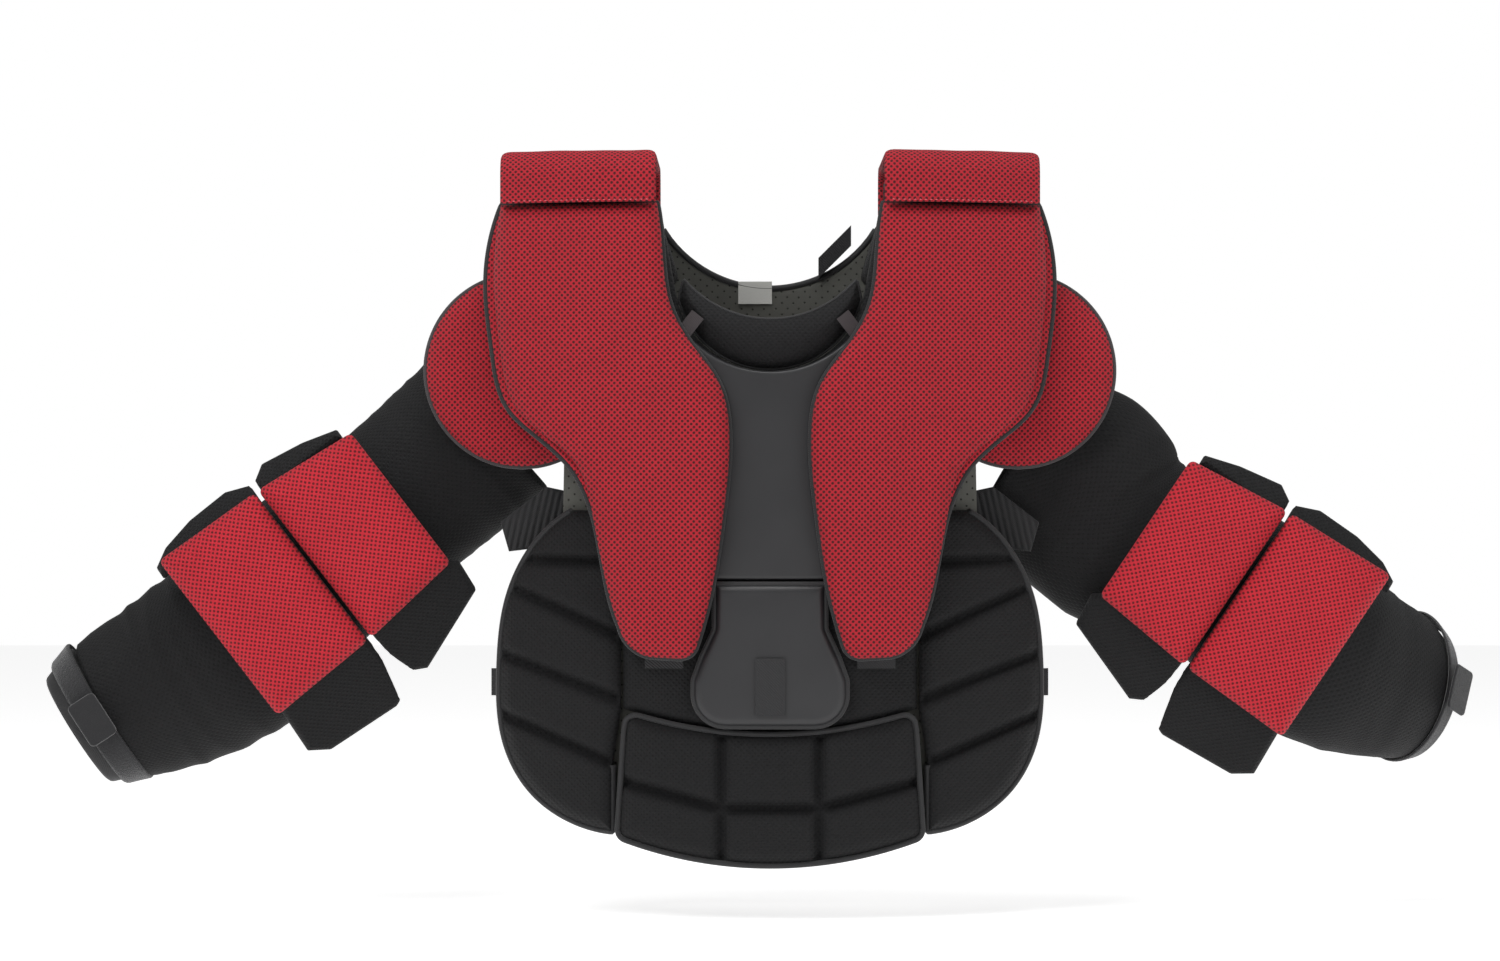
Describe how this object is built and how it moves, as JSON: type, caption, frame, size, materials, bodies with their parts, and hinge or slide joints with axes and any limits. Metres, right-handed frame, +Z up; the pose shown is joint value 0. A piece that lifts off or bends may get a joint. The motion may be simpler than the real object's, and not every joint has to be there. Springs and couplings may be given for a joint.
{
  "type": "goalie chest and arm protector",
  "caption": "Ice-hockey goalie chest and arm protector: padded torso, red shoulder floats and caps, black mesh sleeves with split red elbow pads.",
  "frame": {"origin": "inside the torso, midway between the shoulders at shoulder height", "axes": "+X to the wearer's left, +Y to the wearer's back, +Z up"},
  "size_m": [1.3965, 0.3172, 0.675],
  "materials": {
    "red_spacer_mesh": "matt woven",
    "black_spacer_mesh": "matt woven",
    "grey_vinyl": "satin coated",
    "binding": "folded tape",
    "lining": "perforated brushed knit",
    "webbing": "woven nylon",
    "hook_and_loop": "fuzzy loop",
    "hard_insert": "moulded",
    "label": "printed satin, blank"
  },
  "bodies": {
    "torso": {"armpit_gussets": "black_spacer_mesh", "back_lining": "lining", "back_plate": "black_spacer_mesh", "centre_panel": "black_spacer_mesh", "collar": "black_spacer_mesh", "collar_tabs": "grey_vinyl", "front_lining": "lining", "front_vest": "black_spacer_mesh", "left_shoulder_band": "red_spacer_mesh", "left_side_panel": "black_spacer_mesh", "left_yoke": "black_spacer_mesh", "neck_pads": "black_spacer_mesh", "neck_strap": "webbing", "right_shoulder_band": "red_spacer_mesh", "right_side_panel": "black_spacer_mesh", "right_yoke": "black_spacer_mesh", "size_label": "label", "spine_pad": "black_spacer_mesh", "sternum_core": "hard_insert", "sternum_plate": "grey_vinyl", "waist_buckle": "hard_insert", "waist_straps": "webbing", "waist_tabs": "webbing"},
    "belly": {"belly_panel": "black_spacer_mesh"},
    "left_cap": {"left_cap_liner": "hard_insert", "left_cap_piping": "binding", "left_shoulder_cap": "red_spacer_mesh"},
    "left_float": {"left_chest_float": "red_spacer_mesh", "left_float_tab": "webbing", "left_float_underlay": "red_spacer_mesh"},
    "left_forearm": {"left_cuff": "black_spacer_mesh", "left_forearm_sleeve": "black_spacer_mesh", "left_lower_elbow_cup": "hard_insert", "left_lower_elbow_pad": "red_spacer_mesh", "left_lower_wings": "black_spacer_mesh", "left_wrist_strap": "hook_and_loop"},
    "left_strap_end_flap": {"left_strap_end": "hook_and_loop"},
    "left_upper_arm": {"left_upper_elbow_cup": "hard_insert", "left_upper_elbow_pad": "red_spacer_mesh", "left_upper_sleeve": "black_spacer_mesh", "left_upper_wings": "black_spacer_mesh"},
    "right_cap": {"right_cap_liner": "hard_insert", "right_cap_piping": "binding", "right_shoulder_cap": "red_spacer_mesh"},
    "right_float": {"right_chest_float": "red_spacer_mesh", "right_float_tab": "webbing", "right_float_underlay": "red_spacer_mesh"},
    "right_forearm": {"right_cuff": "black_spacer_mesh", "right_forearm_sleeve": "black_spacer_mesh", "right_lower_elbow_cup": "hard_insert", "right_lower_elbow_pad": "red_spacer_mesh", "right_lower_wings": "black_spacer_mesh", "right_wrist_strap": "hook_and_loop"},
    "right_strap_end_flap": {"right_strap_end": "hook_and_loop"},
    "right_upper_arm": {"right_upper_elbow_cup": "hard_insert", "right_upper_elbow_pad": "red_spacer_mesh", "right_upper_sleeve": "black_spacer_mesh", "right_upper_wings": "black_spacer_mesh"},
    "tongue": {"tongue_flap": "grey_vinyl", "tongue_tab": "webbing"}
  },
  "joints": [
    {"name": "right_float_lift", "type": "hinge", "parent": "torso", "child": "right_float", "pos_m": [-0.18, -0.189, 0.189], "axis": [-1, 0, 0], "range_deg": [0, 60]},
    {"name": "right_cap_swing", "type": "hinge", "parent": "torso", "child": "right_cap", "pos_m": [-0.256, 0, -0.002], "axis": [0, 1, 0], "range_deg": [0, 20]},
    {"name": "right_shoulder", "type": "hinge", "parent": "torso", "child": "right_upper_arm", "pos_m": [-0.256, 0, -0.002], "axis": [0, 1, 0], "range_deg": [-8, 60]},
    {"name": "right_elbow", "type": "hinge", "parent": "right_upper_arm", "child": "right_forearm", "pos_m": [-0.436, -0.057, -0.153], "axis": [0.6101, 0, -0.7923], "range_deg": [0, 60]},
    {"name": "right_strap_peel", "type": "hinge", "parent": "right_forearm", "child": "right_strap_end_flap", "pos_m": [-0.66168, -0.06096, -0.28197], "axis": [-0.8387, 0, -0.5446], "range_deg": [0, 60]},
    {"name": "left_float_lift", "type": "hinge", "parent": "torso", "child": "left_float", "pos_m": [0.18, -0.189, 0.189], "axis": [-1, 0, 0], "range_deg": [0, 60]},
    {"name": "left_cap_swing", "type": "hinge", "parent": "torso", "child": "left_cap", "pos_m": [0.256, 0, -0.002], "axis": [0, -1, 0], "range_deg": [0, 20]},
    {"name": "left_shoulder", "type": "hinge", "parent": "torso", "child": "left_upper_arm", "pos_m": [0.256, 0, -0.002], "axis": [0, -1, 0], "range_deg": [-8, 60]},
    {"name": "left_elbow", "type": "hinge", "parent": "left_upper_arm", "child": "left_forearm", "pos_m": [0.446, -0.057, -0.176], "axis": [0.5577, 0, 0.83], "range_deg": [0, 60]},
    {"name": "left_strap_peel", "type": "hinge", "parent": "left_forearm", "child": "left_strap_end_flap", "pos_m": [0.68171, 0.04377, -0.25523], "axis": [-0.6204, -0.689, 0.3746], "range_deg": [0, 60]},
    {"name": "tongue_lift", "type": "hinge", "parent": "torso", "child": "tongue", "pos_m": [0, -0.16, -0.17], "axis": [-1, 0, 0], "range_deg": [0, 80]},
    {"name": "belly_lift", "type": "hinge", "parent": "torso", "child": "belly", "pos_m": [0, -0.154, -0.29], "axis": [-1, 0, 0], "range_deg": [0, 70]}
  ]
}
